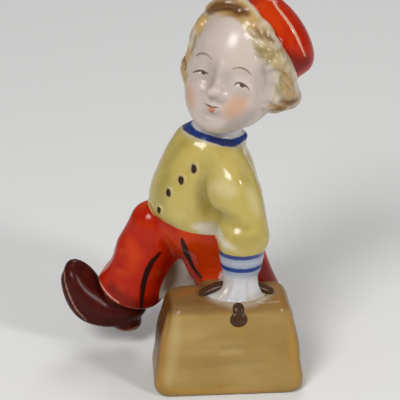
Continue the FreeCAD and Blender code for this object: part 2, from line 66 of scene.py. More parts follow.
# Past its seam a piece sinks under its neighbour at this slope, and ends this far on
SINK = 0.8
INSET = 0.9
SMALL = 1e-6

# Pieces that keep their own crisp shape
BUTTONS = tuple(f"jacket_button_{number}" for number in (1, 2, 3, 4))
CRISP = (*BUTTONS, "bag_clasp", "bag_handle")

# Camera
PHOTO_WIDTH = 400
FOCAL_PIXELS = 1620.0
CAMERA_DISTANCE = 400.0
CAMERA_TARGET = Vector((-5.288, 18.787, 39.399))
SENSOR_WIDTH = 36.0
CLIP_START = 0.01
AZIMUTH = math.radians(-4.0)
ELEVATION = math.radians(25.0)
BACK = Vector((math.sin(AZIMUTH) * math.cos(ELEVATION),
               -math.cos(AZIMUTH) * math.cos(ELEVATION), math.sin(ELEVATION)))
RIGHT = Vector((math.cos(AZIMUTH), math.sin(AZIMUTH), 0))
ABOVE = RIGHT.cross(-BACK)
EYE = CAMERA_TARGET + BACK * CAMERA_DISTANCE

# Head: its turn, the same as in the solid model
HEAD_YAW = math.radians(20)
HEAD_PITCH = math.radians(12)
HEAD_ROLL = math.radians(14)
HEAD_CENTRE = np.array((3.1, 11.0, 78.0))
HEAD_RADIUS = 12.0
COLLAR_LEAN = math.radians(10.5)


def head_axes():
    """The head's own directions: ahead, aside and up."""
    turned = Matrix.Rotation(-HEAD_YAW, 3, "Z")
    ahead = turned @ Matrix.Rotation(-HEAD_PITCH, 3, "X") @ Vector((0, -1, 0))
    aside = turned @ Vector((1, 0, 0))
    rolled = Matrix.Rotation(-HEAD_ROLL, 3, ahead)
    return np.array(ahead), np.array(rolled @ aside), np.array(rolled @ aside.cross(-ahead))


FACING, HEAD_SIDE, HEAD_UP = head_axes()


def pixel_ray(x, y):
    """The direction from the eye through a place on the photograph."""
    half = PHOTO_WIDTH / 2
    ray = RIGHT * ((x - half) / FOCAL_PIXELS) - ABOVE * ((y - half) / FOCAL_PIXELS) - BACK
    return ray.normalized()


def rope_gap(places, points, radii):
    """The distance from places to a tapered cord along a line of points."""
    nearest = None
    for start, end, first, last in zip(points[:-1], points[1:], radii[:-1], radii[1:]):
        way = end - start
        length = max(float(way @ way), SMALL)
        parts = [(axis - low, step) for axis, low, step in zip(places, start, way)]
        along = np.clip(sum(part * step for part, step in parts) / length, 0, 1)
        gap = np.sqrt(sum((part - along * step) ** 2 for part, step in parts))
        gap = gap - (first + (last - first) * along)
        nearest = gap if nearest is None else np.minimum(nearest, gap)
    return nearest


def mesh_arrays(name):
    """A node's points in millimetres and its triangles."""
    mesh = frame["nodes"][name].data
    mesh.calc_loop_triangles()
    points = np.empty(len(mesh.vertices) * 3, np.float32)
    mesh.vertices.foreach_get("co", points)
    corners = np.empty(len(mesh.loop_triangles) * 3, np.uint32)
    mesh.loop_triangles.foreach_get("vertices", corners)
    return points.reshape(-1, 3) / MM, corners.reshape(-1, 3)


def node_points(name):
    return mesh_arrays(name)[0]


def add_object(name, data):
    """A new object in the scene."""
    thing = bpy.data.objects.new(name, data)
    bpy.context.scene.collection.objects.link(thing)
    return thing


# Fields: one distance array over the whole figure, filled piece by piece
class Field:
    """Signed distance on a regular grid, negative inside."""

    def __init__(self, low, shape):
        self.low = np.array(low)
        self.values = np.full(shape, BAND, np.float32)

    def cut(self, low, high):
        """The slices of the array that cover a box given in millimetres."""
        first = np.maximum(np.floor(np.array(low) / VOXEL).astype(int) - self.low, 0)
        last = np.ceil(np.array(high) / VOXEL).astype(int) + 1 - self.low
        last = np.minimum(last, self.values.shape)
        return tuple(slice(a, b) for a, b in zip(first, last))

    def places(self, cut):
        """Coordinates in millimetres of a cut, as three arrays that broadcast."""
        axes = []
        for axis, part in enumerate(cut):
            along = (np.arange(part.start, part.stop) + self.low[axis]) * VOXEL
            shape = [1, 1, 1]
            shape[axis] = -1
            axes.append(along.reshape(shape).astype(np.float32))
        return axes

    def sample(self, points):
        """The value between the grid's points, and past its edge the value there."""
        place = points / VOXEL - self.low
        place = np.clip(place, 0, np.array(self.values.shape) - 1.001)
        base = place.astype(int)
        rest = place - base
        total = np.zeros(len(points))
        for corner in np.ndindex(2, 2, 2):
            a, b, c = np.abs(1 - np.array(corner) - rest).T
            total += a * b * c * self.values[tuple((base + corner).T)]
        return total

    def blend_in(self, cut, distance, blend, carve=False):
        """Adds a shape to the figure, or carves it out, with a rounded joint."""
        here = self.values[cut]
        if carve:
            here = -here
        share = np.clip(0.5 + 0.5 * (distance - here) / blend, 0, 1)
        mixed = distance + (here - distance) * share - blend * share * (1 - share)
        self.values[cut] = -mixed if carve else mixed

    def dab(self, centre, axes, sizes, blend, carve=False):
        """An ellipsoid with its own three axes."""
        centre = np.array(centre)
        reach = max(sizes) + blend + VOXEL
        cut = self.cut(centre - reach, centre + reach)
        parts = [place - middle for place, middle in zip(self.places(cut), centre)]
        total = 0
        for axis, size in zip(axes, sizes):
            along = sum(part * step for part, step in zip(parts, axis))
            total = total + (along / size) ** 2
        distance = (np.sqrt(total) - 1) * min(sizes)
        self.blend_in(cut, distance.astype(np.float32), blend, carve)

    def rope(self, points, radii, blend, carve=False):
        """A tapered cord along a line of points."""
        points = np.array(points, np.float32)
        reach = max(radii) + blend + VOXEL
        cut = self.cut(points.min(0) - reach, points.max(0) + reach)
        gap = rope_gap(self.places(cut), points, radii)
        self.blend_in(cut, gap.astype(np.float32), blend, carve)

    def hit(self, start, ray, near, far):
        """Where a ray first enters the figure or, past its edge, where it comes nearest."""
        steps = np.arange(near, far, VOXEL / 2)
        points = np.array(start) + np.outer(steps, np.array(ray))
        values = self.sample(points)
        inside = np.nonzero(values < 0)[0]
        return points[inside[0] if len(inside) else np.argmin(values)]

    def normals(self, points):
        """Outward directions from the field's slope."""
        slope = np.stack([self.sample(points + step) - self.sample(points - step)
                          for step in np.eye(3) * VOXEL], axis=1)
        length = np.linalg.norm(slope, axis=1)
        length[length == 0] = 1
        return slope / length[:, None]


def level_set(name):
    """A node's distance array and its place in the grid."""
    points, triangles = mesh_arrays(name)
    transform = openvdb.createLinearTransform(VOXEL)
    grid = openvdb.FloatGrid.createLevelSetFromPolygons(
        points, triangles=triangles, transform=transform, halfWidth=BAND / VOXEL)
    low = np.floor((points.min(0) - BAND) / VOXEL).astype(int)
    high = np.ceil((points.max(0) + BAND) / VOXEL).astype(int)
    array = np.zeros(high - low, np.float32)
    grid.copyToArray(array, ijk=tuple(int(x) for x in low))
    return low, array


def blurred(array, sigma):
    """The array softened along each axis by a bell curve, out to three of its widths."""
    reach = int(math.ceil(3 * sigma))
    weights = np.exp(-0.5 * (np.arange(-reach, reach + 1) / sigma) ** 2)
    weights /= weights.sum()
    for axis in range(3):
        source = np.moveaxis(array, axis, 0)
        total = np.zeros_like(source)
        size = source.shape[0]
        for step, weight in zip(range(-reach, reach + 1), weights):
            a, b = max(0, step), min(size, size + step)
            total[a - step:b - step] += weight * source[a:b]
        array = np.moveaxis(total, 0, axis)
    return np.ascontiguousarray(array)


def distance_from_share(share, sigma):
    """The distance at which a blurred flat edge has this share of solid."""
    # The inverse error function, by a short formula with one fitted constant
    fitted = 0.147
    limit = 0.9999
    x = np.clip(2 * share - 1, -limit, limit)
    log = np.log(1 - x * x)
    term = 2 / (math.pi * fitted) + log / 2
    root = np.sqrt(np.sqrt(term * term - log / fitted) - term)
    return (-sigma * math.sqrt(2) * np.sign(x) * root).astype(np.float32)


soft_names = sorted(name for name in frame["nodes"] if name not in CRISP)
sets = {name: level_set(name) for name in soft_names}
lows = np.array([low for low, array in sets.values()])
highs = np.array([low + np.array(array.shape) for low, array in sets.values()])
body = Field(lows.min(0), tuple(highs.max(0) - lows.min(0)))
# The nearest and the second nearest piece's distance, and the share of solid in each cell
nearest = body.values.copy()
second = body.values.copy()
solid = np.zeros_like(body.values)
spans = {}
for name, (at, array) in sets.items():
    span = tuple(slice(a, a + n) for a, n in zip(at - body.low, array.shape))
    spans[name] = span
    second[span] = np.where(array < nearest[span], nearest[span],
                            np.minimum(second[span], array))
    nearest[span] = np.minimum(nearest[span], array)
    solid[span] += np.clip(0.5 - array / VOXEL, 0, 1)
solid = np.clip(solid, 0, 1)
body.values = distance_from_share(blurred(solid, SOFT / VOXEL), SOFT)


# Sculpting. The camera looks for the figure this far before and behind its target.
SEARCH = 60


def spot(x, y, lift=0):
    """The place on the figure behind a place on the photograph, and its outward direction."""
    place = body.hit(EYE, pixel_ray(x, y), CAMERA_DISTANCE - SEARCH, CAMERA_DISTANCE + SEARCH)
    out = body.normals(place[None])[0]
    return place + out * lift, out


def smooth_line(points, count):
    """A curve through the points, as many short steps."""
    points = np.array(points, float)
    ends = np.vstack([2 * points[0] - points[1], points, 2 * points[-1] - points[-2]])
    line = []
    for place in np.linspace(0, len(points) - 1, count):
        index = min(int(place), len(points) - 2)
        t = place - index
        a, b, c, d = ends[index:index + 4]
        line.append(0.5 * (2 * b + (c - a) * t + (2 * a - 5 * b + 4 * c - d) * t * t
                           + (3 * b - a - 3 * c + d) * t ** 3))
    return np.array(line)


def surface_line(pixels, lift, count=12):
    """A curve over the surface behind a line on the photograph."""
    return np.array([spot(x, y, lift)[0] for x, y in smooth_line(pixels, count)])


def tapers(count, size, start=0.35, end=0.35):
    """Radii along a rope that is thinner toward its ends."""
    along = np.linspace(0, 1, count)
    # A sine's arch made fuller, and cut just before it reaches nought
    fullness = 0.6
    arch = np.sin(np.pi * np.clip(along, 0.02, 0.98)) ** fullness
    ends = start + (end - start) * along
    return size * (ends + (1 - ends) * arch)


def dab_at(pixel, sizes, lift, blend, turn=0, carve=False):
    """An ellipsoid on the surface: across, along and out of it, turned on the picture."""
    place, out = spot(*pixel, lift)
    right = np.array(RIGHT) - out * (np.array(RIGHT) @ out)
    right /= np.linalg.norm(right)
    up = np.cross(out, right)
    angle = math.radians(turn)
    across = right * math.cos(angle) - up * math.sin(angle)
    along = up * math.cos(angle) + right * math.sin(angle)
    body.dab(place, (across, along, out), sizes, blend, carve)


def rope_at(pixels, size, lift, blend, carve=False, ends=(0.35, 0.35), count=12):
    """A tapered cord over the surface behind a line on the photograph."""
    line = surface_line(pixels, lift, count)
    body.rope(line, tapers(count, size, *ends), blend, carve)


def soften(softer, cut, centre, sizes, fade):
    """Mixes in the softer field round a place."""
    parts = zip(body.places(cut), centre, sizes)
    far = np.sqrt(sum(((place - middle) / size) ** 2 for place, middle, size in parts))
    share = np.clip((1 + fade - far) / fade, 0, 1)
    share = share * share * (3 - 2 * share)
    body.values[cut] += (softer - body.values[cut]) * share


# Places on the figure in millimetres: a box, and middles with their half sizes
TORSO = ((-34, -6, 10), (20, 36, 66))
SHOULDERS = ((1.5, 4.5, 56), (1.5, 23, 56))
SHOULDER_SIZES = (7, 7, 7)
SEAT = (-6, 9, 29)
SEAT_SIZES = (14, 14, 7)


def soften_torso():
    """Shoulders and upper sleeves run into the jacket, and the seat into both legs."""
    cut = body.cut(*TORSO)
    softer = distance_from_share(blurred(solid[cut], SOFTER / VOXEL), SOFTER)
    for shoulder in SHOULDERS:
        soften(softer, cut, shoulder, SHOULDER_SIZES, fade=0.5)
    soften(softer, cut, SEAT, SEAT_SIZES, fade=0.4)


# Places on the photograph, in pixels
FOREARM_ROOT = (214, 233)
ARM_FOLD = ((206, 180), (205, 193), (210, 205), (220, 214), (232, 222), (247, 228))
UPPER_ARM = (222, 190)
CROTCH_FOLD = ((165, 238), (168, 248), (173, 258))
BELOW_KNEE = ((113, 248), (107, 258), (102, 267))
INSTEP = ((76, 261), (84, 268), (92, 276), (99, 283))
FINGER_HOLLOWS = (((224, 299), (232, 280)), ((237, 301), (240, 280)), ((250, 299), (248, 280)))


def sculpt_arm():
    """One broad fold round the upper arm, and the forearm running into the jacket."""
    dab_at(FOREARM_ROOT, (6.0, 6.0, 3.2), lift=-2.3, blend=3.0)
    rope_at(ARM_FOLD, 2.2, lift=1.35, blend=1.8, carve=True, ends=(0.5, 0.3))
    dab_at(UPPER_ARM, (4.5, 5.0, 2.2), lift=-1.5, blend=2.0, turn=20)


def sculpt_leg():
    """The fold beside the crotch, a leg that draws in below the knee, and a full instep."""
    rope_at(CROTCH_FOLD, 1.4, lift=0.9, blend=1.5, carve=True)
    rope_at(BELOW_KNEE, 4.5, lift=3.5, blend=2.0, carve=True, ends=(0.6, 0.3))
    rope_at(INSTEP, 2.6, lift=-1.2, blend=1.5, ends=(0.5, 0.7))


def sculpt_near_hand():
    """Hollows between the fingers."""
    for hollow in FINGER_HOLLOWS:
        rope_at(hollow, 0.7, lift=0.45, blend=0.6, carve=True, ends=(1.0, 0.4), count=6)


# Hollows of the free hand, as shares of its width and height from its middle
FREE_HOLLOWS = (-0.21, 0.0, 0.21)
FREE_RISES = (0.12, -0.08, -0.28, -0.44)
FREE_RADII = (0.3, 0.5, 0.55, 0.5)


def sculpt_free_hand():
    """Hollows between the fingers, on both broad sides of the hand."""
    points = node_points("right_hand")
    middle = (points.min(0) + points.max(0)) / 2
    size = points.max(0) - points.min(0)
    for across in FREE_HOLLOWS:
        for side in (-0.5, 0.5):
            starts = [middle + np.array((across, side, rise)) * size for rise in FREE_RISES]
            line = [body.hit(start, (0, -side, 0), 0, size[1]) for start in starts]
            body.rope(line, FREE_RADII, 0.6, carve=True)


# The face in pixels, with turns in degrees
SOCKETS = (((203, 71), 12), ((239.5, 83), 20))
NOSE_SIDE = (211, 78)
LIDS = (((202.5, 72), 10), ((241, 85.5), 22))
NOSE_RIDGE = ((222, 66), (220, 75), (217.5, 84), (215, 91))
NOSE_TIP = (215, 91.5)
NOSTRILS = ((209.5, 93), (221, 95.5))
FAR_CHEEK = (192, 98)
NEAR_CHEEK = (236, 107)
UPPER_LIP = (211.5, 105.5)
LOWER_LIP = (212, 111)
MOUTH = ((204.5, 103.5), (208.5, 105.5), (212, 107.5), (216, 107.5), (219, 108))
CHIN_FOLD = ((207, 115), (212, 116), (218, 116))
CHIN = (208, 122)


def sculpt_face():
    """Sockets, lids, nose, cheeks, lips and chin."""
    for pixel, turn in SOCKETS:
        dab_at(pixel, (5.0, 2.7, 2.1), lift=1.4, blend=1.8, turn=turn, carve=True)
    dab_at(NOSE_SIDE, (1.8, 2.6, 1.6), lift=1.45, blend=2.0, turn=10, carve=True)
    for pixel, turn in LIDS:
        dab_at(pixel, (2.5, 1.5, 1.3), lift=-0.75, blend=1.0, turn=turn)
        dab_at(pixel, (2.2, 0.35, 0.4), lift=0.18, blend=0.25, turn=turn, carve=True)
    rope_at(NOSE_RIDGE, 1.15, lift=-0.45, blend=1.4, ends=(0.3, 1.0), count=8)
    dab_at(NOSE_TIP, (1.4, 1.2, 1.2), lift=-0.1, blend=0.9, turn=10)
    for pixel in NOSTRILS:
        dab_at(pixel, (0.9, 0.8, 0.9), lift=-0.1, blend=0.45)
    dab_at(FAR_CHEEK, (2.6, 3.4, 1.6), lift=-0.9, blend=1.8)
    dab_at(NEAR_CHEEK, (4.4, 3.8, 2.2), lift=-1.2, blend=2.4)
    dab_at(UPPER_LIP, (2.3, 0.85, 0.8), lift=-0.25, blend=0.45, turn=14)
    dab_at(LOWER_LIP, (1.5, 0.9, 0.9), lift=-0.25, blend=0.45, turn=14)
    rope_at(MOUTH, 0.32, lift=0.12, blend=0.25, carve=True, count=8)
    rope_at(CHIN_FOLD, 1.0, lift=0.6, blend=1.0, carve=True, count=6)
    dab_at(CHIN, (3.0, 2.4, 2.0), lift=-1.1, blend=1.6)


# Locks of hair in pixels, with their sizes and, at the edge, their depths as shares of them
LOCKS = (
    (((246, 16), (255, 27), (265, 37), (276, 46)), 2.2),
    (((251, 36), (260, 46), (269, 53), (279, 57)), 2.2),
    (((268, 68), (276, 63), (284, 65), (290, 74)), 2.2),
    (((276, 78), (282, 85), (290, 91), (298, 97)), 2.2),
    (((275, 91), (279, 99), (286, 104), (295, 103)), 1.8),
    (((264, 107), (270, 110), (276, 111), (283, 109)), 1.2),
)
LOCK_DEPTH = 0.55
EDGE_LOCKS = (
    (((205, 16), (213, 9), (224, 5), (236, 9), (245, 19)), 2.0, 0.75),
    (((208, 14), (201, 20), (198, 26), (197, 31)), 1.8, 0.6),
    (((188, 52), (186, 59), (184, 67), (184, 74), (187, 83)), 1.5, 0.45),
)
GROOVES = (
    ((250, 29), (259, 39), (268, 47), (278, 51)),
    ((283, 74), (289, 84), (294, 93)),
    ((256, 55), (265, 60), (272, 58), (280, 61)),
    ((271, 72), (279, 73), (287, 82), (297, 92)),
    ((275, 85), (279, 93), (286, 99), (297, 100)),
    ((268, 103), (273, 106), (280, 108), (291, 108)),
    ((207, 20), (216, 13), (230, 12), (240, 19)),
)
TEMPLE = ((192, 27), (189, 35), (187, 43), (186, 50))


def sculpt_front_hair():
    """The locks seen on the photograph, and the temple that hides behind them."""
    for pixels, size in LOCKS:
        rope_at(pixels, size, lift=-LOCK_DEPTH * size, blend=1.2, ends=(0.5, 0.6), count=14)
    for pixels, size, depth in EDGE_LOCKS:
        rope_at(pixels, size, lift=-depth * size, blend=0.8, ends=(0.6, 0.5), count=14)
    for pixels in GROOVES:
        rope_at(pixels, 0.5, lift=0.25, blend=0.8, carve=True, count=14)
    rope_at(TEMPLE, 2.6, lift=1.2, blend=0.8, carve=True, count=10)


# Locks down the back, in degrees round the head from the face and above its level
BACK_BEARINGS = range(104, 298, 14)
LAST_BEARING = 264
BACK_RISES = range(34, -46, -5)
WAVE = 5
WAVE_PACE = 4
WAVE_SHIFT = 130
FEWEST_POINTS = 4
HAIR_REACH = 1.0


def head_ray(bearing, rise):
    """Where the figure is met on the way to the head's centre: degrees from the face and level."""
    turn, tilt = math.radians(bearing), math.radians(rise)
    way = (FACING * math.cos(turn) + HEAD_SIDE * math.sin(turn)) * math.cos(tilt)
    way = way + HEAD_UP * math.sin(tilt)
    return body.hit(HEAD_CENTRE + way * HEAD_RADIUS * 2, -way, 0, HEAD_RADIUS * 2)


def on_hair(place):
    """Whether a place lies on or near the hair's own solid."""
    low, array = sets["hair"]
    index = np.round(place / VOXEL).astype(int) - low
    if np.any(index < 0) or np.any(index >= array.shape):
        return False
    return array[tuple(index)] < HAIR_REACH


def back_lock(bearing, number):
    """A wavy lock down the back of the head, from the cap to the hair's lower edge."""
    line = []
    for rise in BACK_RISES:
        wave = WAVE * math.sin(math.radians(rise * WAVE_PACE + number * WAVE_SHIFT))
        place = head_ray(bearing + wave, rise)
        if on_hair(place):
            line.append(place)
    return np.array(line)


def sunk(line, depth):
    """The line moved into the figure."""
    return line - body.normals(line) * depth


def sculpt_back_hair():
    """Locks and the grooves between them; gives back the grooves' lines."""
    grooves = []
    for number, bearing in enumerate(BACK_BEARINGS):
        line = back_lock(bearing, number)
        groove = back_lock(bearing + BACK_BEARINGS.step / 2, number)
        if len(line) >= FEWEST_POINTS and bearing < LAST_BEARING:
            body.rope(sunk(line, 1.5), tapers(len(line), 1.9, 0.5, 0.7), blend=0.7)
        if len(groove) >= FEWEST_POINTS:
            body.rope(groove, tapers(len(groove), 0.5), blend=0.5, carve=True)
            grooves.append(groove)
    return grooves


soften_torso()
sculpt_arm()
sculpt_leg()
sculpt_near_hand()
sculpt_free_hand()
sculpt_face()
sculpt_front_hair()
back_grooves = sculpt_back_hair()
# Nothing stands higher than the solids
everything = tuple(slice(0, size) for size in body.values.shape)
body.values = np.maximum(body.values, body.places(everything)[2] - cad_box[1][2] / MM)


# Pieces
def piece_values(name):
    """The figure's field inside the piece's own region, sunk a little beyond its seams."""
    span = spans[name]
    own = sets[name][1]
    other = np.where(own <= nearest[span], second[span], nearest[span])
    seam = (own - other) / 2
    return np.maximum(body.values[span] + SINK * np.maximum(seam, 0), seam - INSET)


def largest_part(count, quads):
    """The points of the largest closed skin, without bits that the grid left beside it."""
    labels = np.arange(count)
    while True:
        lowest = np.repeat(labels[quads].min(axis=1), 4)
        following = labels.copy()
        np.minimum.at(following, quads.ravel(), lowest)
        following = following[following]
        if np.array_equal(following, labels):
            break
        labels = following
    return labels == np.bincount(labels).argmax()


def make_piece(name, values, at):
    """A mesh round the part of the field given, with the whole figure's normals."""
    grid = openvdb.FloatGrid(BAND)
    grid.copyFromArray(np.ascontiguousarray(values), ijk=tuple(int(x) for x in at))
    grid.transform = openvdb.createLinearTransform(VOXEL)
    points, quads = grid.convertToQuads(0)
    kept = largest_part(len(points), quads)
    quads = (np.cumsum(kept) - 1)[quads[kept[quads[:, 0]]]]
    points = points[kept]
    mesh = bpy.data.meshes.new(name)
    mesh.from_pydata((points * MM).tolist(), [], quads.tolist())
    mesh.polygons.foreach_set("use_smooth", np.ones(len(quads), bool))
    mesh.normals_split_custom_set_from_vertices(body.normals(points).tolist())
    return add_object(name, mesh), points


slots = {row["node"]: row["material_slot"] for row in frame["record"]["subparts"]}
pieces = {}
skins = {}
for name in soft_names:
    thing, skins[name] = make_piece("clay_" + name, piece_values(name), sets[name][0])
    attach(thing, "root")
    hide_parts(name)
    pieces[name] = thing


# Paint: strokes over the skin of every soft piece. A mark is the depth inside a stroke plus
# EDGE, so that it is nought where no stroke is near.
EDGE = 3.0
skin = np.concatenate([skins[name] for name in soft_names])
marks = {}


def skin_within(points, margin):
    """Which of the skin's points lie in the box round some points."""
    inside = (skin > points.min(0) - margin) & (skin < points.max(0) + margin)
    return np.nonzero(np.all(inside, axis=1))[0]


def lay(layer, near, gap):
    """Adds the distance to a stroke to its layer."""
    values = marks.setdefault(layer, np.zeros(len(skin), np.float32))
    values[near] = np.maximum(values[near], EDGE - gap)


def stroke_along(layer, line, radii):
    near = skin_within(line, EDGE + max(radii))
    lay(layer, near, rope_gap(skin[near].T, line, radii))


def stroke(layer, pixels, half_width):
    line = surface_line(pixels, 0)
    stroke_along(layer, line, tapers(len(line), half_width, 0.4, 0.4))


# Each stroke: its layer, its half width in millimetres and its line in pixels
STROKES = (
    ("line", 0.24, (193, 72.5), (197, 71), (203, 70.8), (208.5, 74)),
    ("line", 0.24, (234, 85.5), (237, 83), (241, 83.3), (246, 86), (249.5, 90)),
    ("line", 0.48, (202.7, 72.3), (204.8, 73.3)),
    ("line", 0.52, (241, 84.6), (243.3, 86)),
    ("line", 0.2, (204.5, 103.5), (208, 105.2), (212, 107), (215.5, 107), (219, 108)),
    ("line", 0.16, (210.5, 111), (212, 112), (213.5, 111.5)),
    ("brow", 0.23, (196, 56), (199, 54), (203, 53.5), (208, 55), (212, 59.5)),
    ("brow", 0.22, (232, 69), (237, 67.5), (242, 68), (247, 70.5), (251, 75)),
    ("lip", 0.28, (206.5, 105), (210, 106), (213, 108), (217, 108)),
    ("lip", 0.45, (209, 108.5), (211.5, 110.6), (214.5, 110)),
    ("white", 0.28, (237, 85.2), (238.7, 85.6)),
    ("white", 0.24, (199, 73), (200.6, 73)),
    # Painted shade on the face: beside the nose, under the eyes and nose, in the chin's fold, on the
    # temple and under the jaw
    ("painted_face_shade", 1.1, (226, 74), (227, 82), (230, 88)),
    ("painted_face_shade", 0.9, (212, 69), (212, 79), (210, 87)),
    ("painted_face_shade", 0.5, (236, 92), (242, 92.5), (248, 94)),
    ("painted_face_shade", 0.5, (197, 78), (203, 79), (208, 80)),
    ("painted_face_shade", 0.4, (210, 97), (216, 99), (222, 100)),
    ("painted_face_shade", 0.6, (207, 115), (213, 116.5), (219, 116)),
    ("painted_face_shade", 1.8, (264, 70), (263, 84), (261, 98)),
    ("painted_face_shade", 1.8, (249, 115), (240, 123), (229, 128)),
    ("blush", 1.6, (240, 102), (236, 108), (232, 114)),
    ("blush", 0.9, (188, 91), (188.5, 96), (190, 102)),
    ("brown", 1.6, (209, 11), (218, 6.5), (229, 7), (238, 10), (246, 14)),
    ("brown", 0.95, (222, 3), (231, 5), (240, 9)),
    ("brown", 0.5, (262, 31), (267, 36), (273, 41)),
    ("brown", 0.3, (257, 30), (260, 34), (263, 38)),
    ("brown", 0.75, (281, 101), (290, 103), (298, 99)),
    ("brown", 0.6, (271, 110), (280, 109), (290, 106)),
    ("brown", 0.3, (196, 37), (194, 46), (191, 54)),
    ("ochre", 1.3, (204, 15), (200, 23), (199, 34)),
    ("ochre", 1.5, (208, 12), (220, 9), (236, 12), (250, 17)),
    ("ochre", 1.3, (236, 2), (242, 6), (250, 15), (256, 22)),
    ("ochre", 0.9, (249, 20), (256, 28), (264, 36)),
    ("ochre", 1.1, (189, 50), (185, 58), (182, 66), (183, 73)),
    ("ochre", 1.5, (284, 84), (290, 92), (297, 98)),
    ("ochre", 1.2, (270, 106), (281, 106), (294, 103)),
    ("ochre", 0.6, (281, 70), (287, 78), (292, 88)),
    ("olive", 0.75, (257, 49), (264, 50.5), (272, 51)),
    ("olive", 0.65, (266, 64), (270, 60), (274, 54)),
    ("olive", 0.45, (283, 73), (280, 81), (282, 92)),
    ("olive", 0.45, (276, 84), (279, 92), (284, 98)),
    ("olive", 0.35, (251, 31), (254, 36), (259, 39)),
    ("olive", 0.4, (276, 52), (281, 50), (284, 56)),
    ("olive", 0.3, (291, 74), (292, 82), (295, 90)),
    ("stripe", 0.92, (182, 239), (186, 251), (192, 265), (201, 277)),
    ("stripe", 0.78, (160, 253), (152, 262), (147, 272), (143, 287), (141, 309)),
    ("bare", 0.6, (224, 236), (224, 250), (223.5, 262), (221.5, 275), (217, 288)),
    # Painted shade on the cap's lower edge, on the rear calf and along the front leg's hem
    ("red_shade", 1.6, (285, 57), (295, 66), (307, 62)),
    ("red_shade", 2.6, (262, 268), (270, 278), (278, 290)),
    ("red_shade", 1.3, (112, 289), (128, 304), (148, 306), (163, 297)),
    # Brighter orange on the seat, by the crotch, on the cap's side and on the knee: partly the
    # glaze's own orange, partly painted light
    ("orange", 4.0, (184, 240), (198, 247), (210, 256), (208, 272)),
    ("orange", 1.6, (166, 232), (172, 242), (178, 252)),
    ("orange", 2.2, (262, 5), (270, 18), (279, 30)),
    ("orange", 1.2, (128, 240), (134, 252), (132, 268)),
    ("pale", 0.38, (273, 1), (278, 9), (286, 19), (294, 31), (299, 42), (305, 56)),
    ("pale", 0.2, (255, 8), (262, 22), (272, 33), (280, 41), (285, 53), (291, 64), (296, 74)),
    ("pale", 0.28, (64, 262), (66, 285), (75, 307), (86, 320)),
    ("pale", 0.28, (98, 275), (101, 284), (108, 294), (119, 303)),
    ("pale", 0.4, (113, 327), (126, 331), (140, 326)),
    ("worn", 1.7, (196, 227), (206, 229), (215, 231), (221, 238)),
    ("worn", 0.8, (222, 240), (226, 245), (236, 248)),
    # Painted shade in the arm's fold, down the jacket's left side and under the forearm
    ("crease_shade", 0.8, *ARM_FOLD),
    ("crease_shade", 0.6, (166, 168), (176, 152), (184, 142)),
    ("crease_shade", 1.5, (158, 207), (161, 192), (167, 176)),
    ("crease_shade", 1.3, (236, 242), (246, 244), (257, 241)),
    # Painted highlights on the sleeve and on the bag's front
    ("painted_highlight", 1.6, (216, 186), (224, 188), (232, 191)),
    ("painted_highlight", 1.0, (249, 190), (254, 200), (258, 212)),
    ("painted_highlight", 1.3, (177, 320), (173, 350), (169, 382)),
    ("painted_highlight", 0.5, (222, 353), (232, 352), (241, 352)),
    ("warm", 1.0, (290, 318), (294, 345), (296, 380)),
    ("warm", 1.2, (168, 318), (163, 345), (159, 385)),
    ("warm", 0.6, (165, 389), (200, 392), (235, 391), (270, 390)),
    ("smear", 0.45, (222, 347), (238, 346), (254, 344)),
    ("smear", 0.4, (206, 366), (232, 362), (262, 360)),
    ("rust_and_shade", 1.4, (176, 297), (186, 292), (197, 290)),
    # Painted shade over the top's right corner
    ("rust_and_shade", 1.3, (273, 297), (280, 300), (287, 305)),
    ("rust_and_shade", 0.55, (219, 387), (222, 387)),
    ("rust_and_shade", 0.35, (160, 388), (168, 392), (176, 393)),
    ("stain", 1.0, (236, 323), (239, 329), (241, 333)),
    ("run", 0.9, (208, 296), (216, 301), (228, 304), (240, 305), (254, 303), (266, 298), (272, 292)),
    ("strap", 0.95, (200, 295), (208, 289), (218, 285)),
    ("strap", 0.95, (260, 289), (267, 290), (273, 293)),
    ("shade", 1.2, (171, 262), (171, 274), (168, 287)),
    # Warm painted shade down the sides of the near hand
    ("hand_side_shade", 0.8, (219, 298), (223, 291), (227, 284)),
    ("hand_side_shade", 1.0, (262, 296), (257, 300), (250, 302)),
)
for layer, half_width, *pixels in STROKES:
    stroke(layer, pixels, half_width)
# The grooves down the back are olive, and brown toward the hair's lower edge
TIP_POINTS = 4
for line in back_grooves:
    stroke_along("olive", line, tapers(len(line), 0.35))
    if len(line) > TIP_POINTS + 1:
        stroke_along("brown", line[-TIP_POINTS:], tapers(TIP_POINTS, 0.6))

# A halo round each button
HALO = 1.2
button_middles = []
for name in BUTTONS:
    points = node_points(name)
    middle = (points.min(0) + points.max(0)) / 2
    button_middles.append(middle)
    stroke_along("halo", np.array([middle, middle + HEAD_UP * VOXEL]), (HALO, HALO))

# Blue band round the collar, level with it, and blue lines round the cuffs, at heights above
# the cuff's lower edge: places in pixels, half widths in millimetres
COLLAR_BAND = ((194, 131), (220, 142.5), (246, 137))
COLLAR_BAND_HALF = 0.62
CUFF_LINES = ((240, 258.5), (240, 271))
CUFF_LINE_HALF = 0.60
MARGIN = 1.5
band_up = np.array((math.sin(COLLAR_LEAN), 0, math.cos(COLLAR_LEAN)))
band_height = np.mean([spot(x, y)[0] @ band_up for x, y in COLLAR_BAND])
near = skin_within(node_points("collar"), MARGIN)
lay("band", near, np.abs(skin[near] @ band_up - band_height) - COLLAR_BAND_HALF)
cuff_foot = node_points("left_cuff").min(0)[2]
line_heights = [spot(x, y)[0][2] - cuff_foot for x, y in CUFF_LINES]
for cuff in ("left_cuff", "right_cuff"):
    points = node_points(cuff)
    near = skin_within(points, MARGIN)
    for height in line_heights:
        lay("blue", near, np.abs(skin[near, 2] - points[:, 2].min() - height) - CUFF_LINE_HALF)

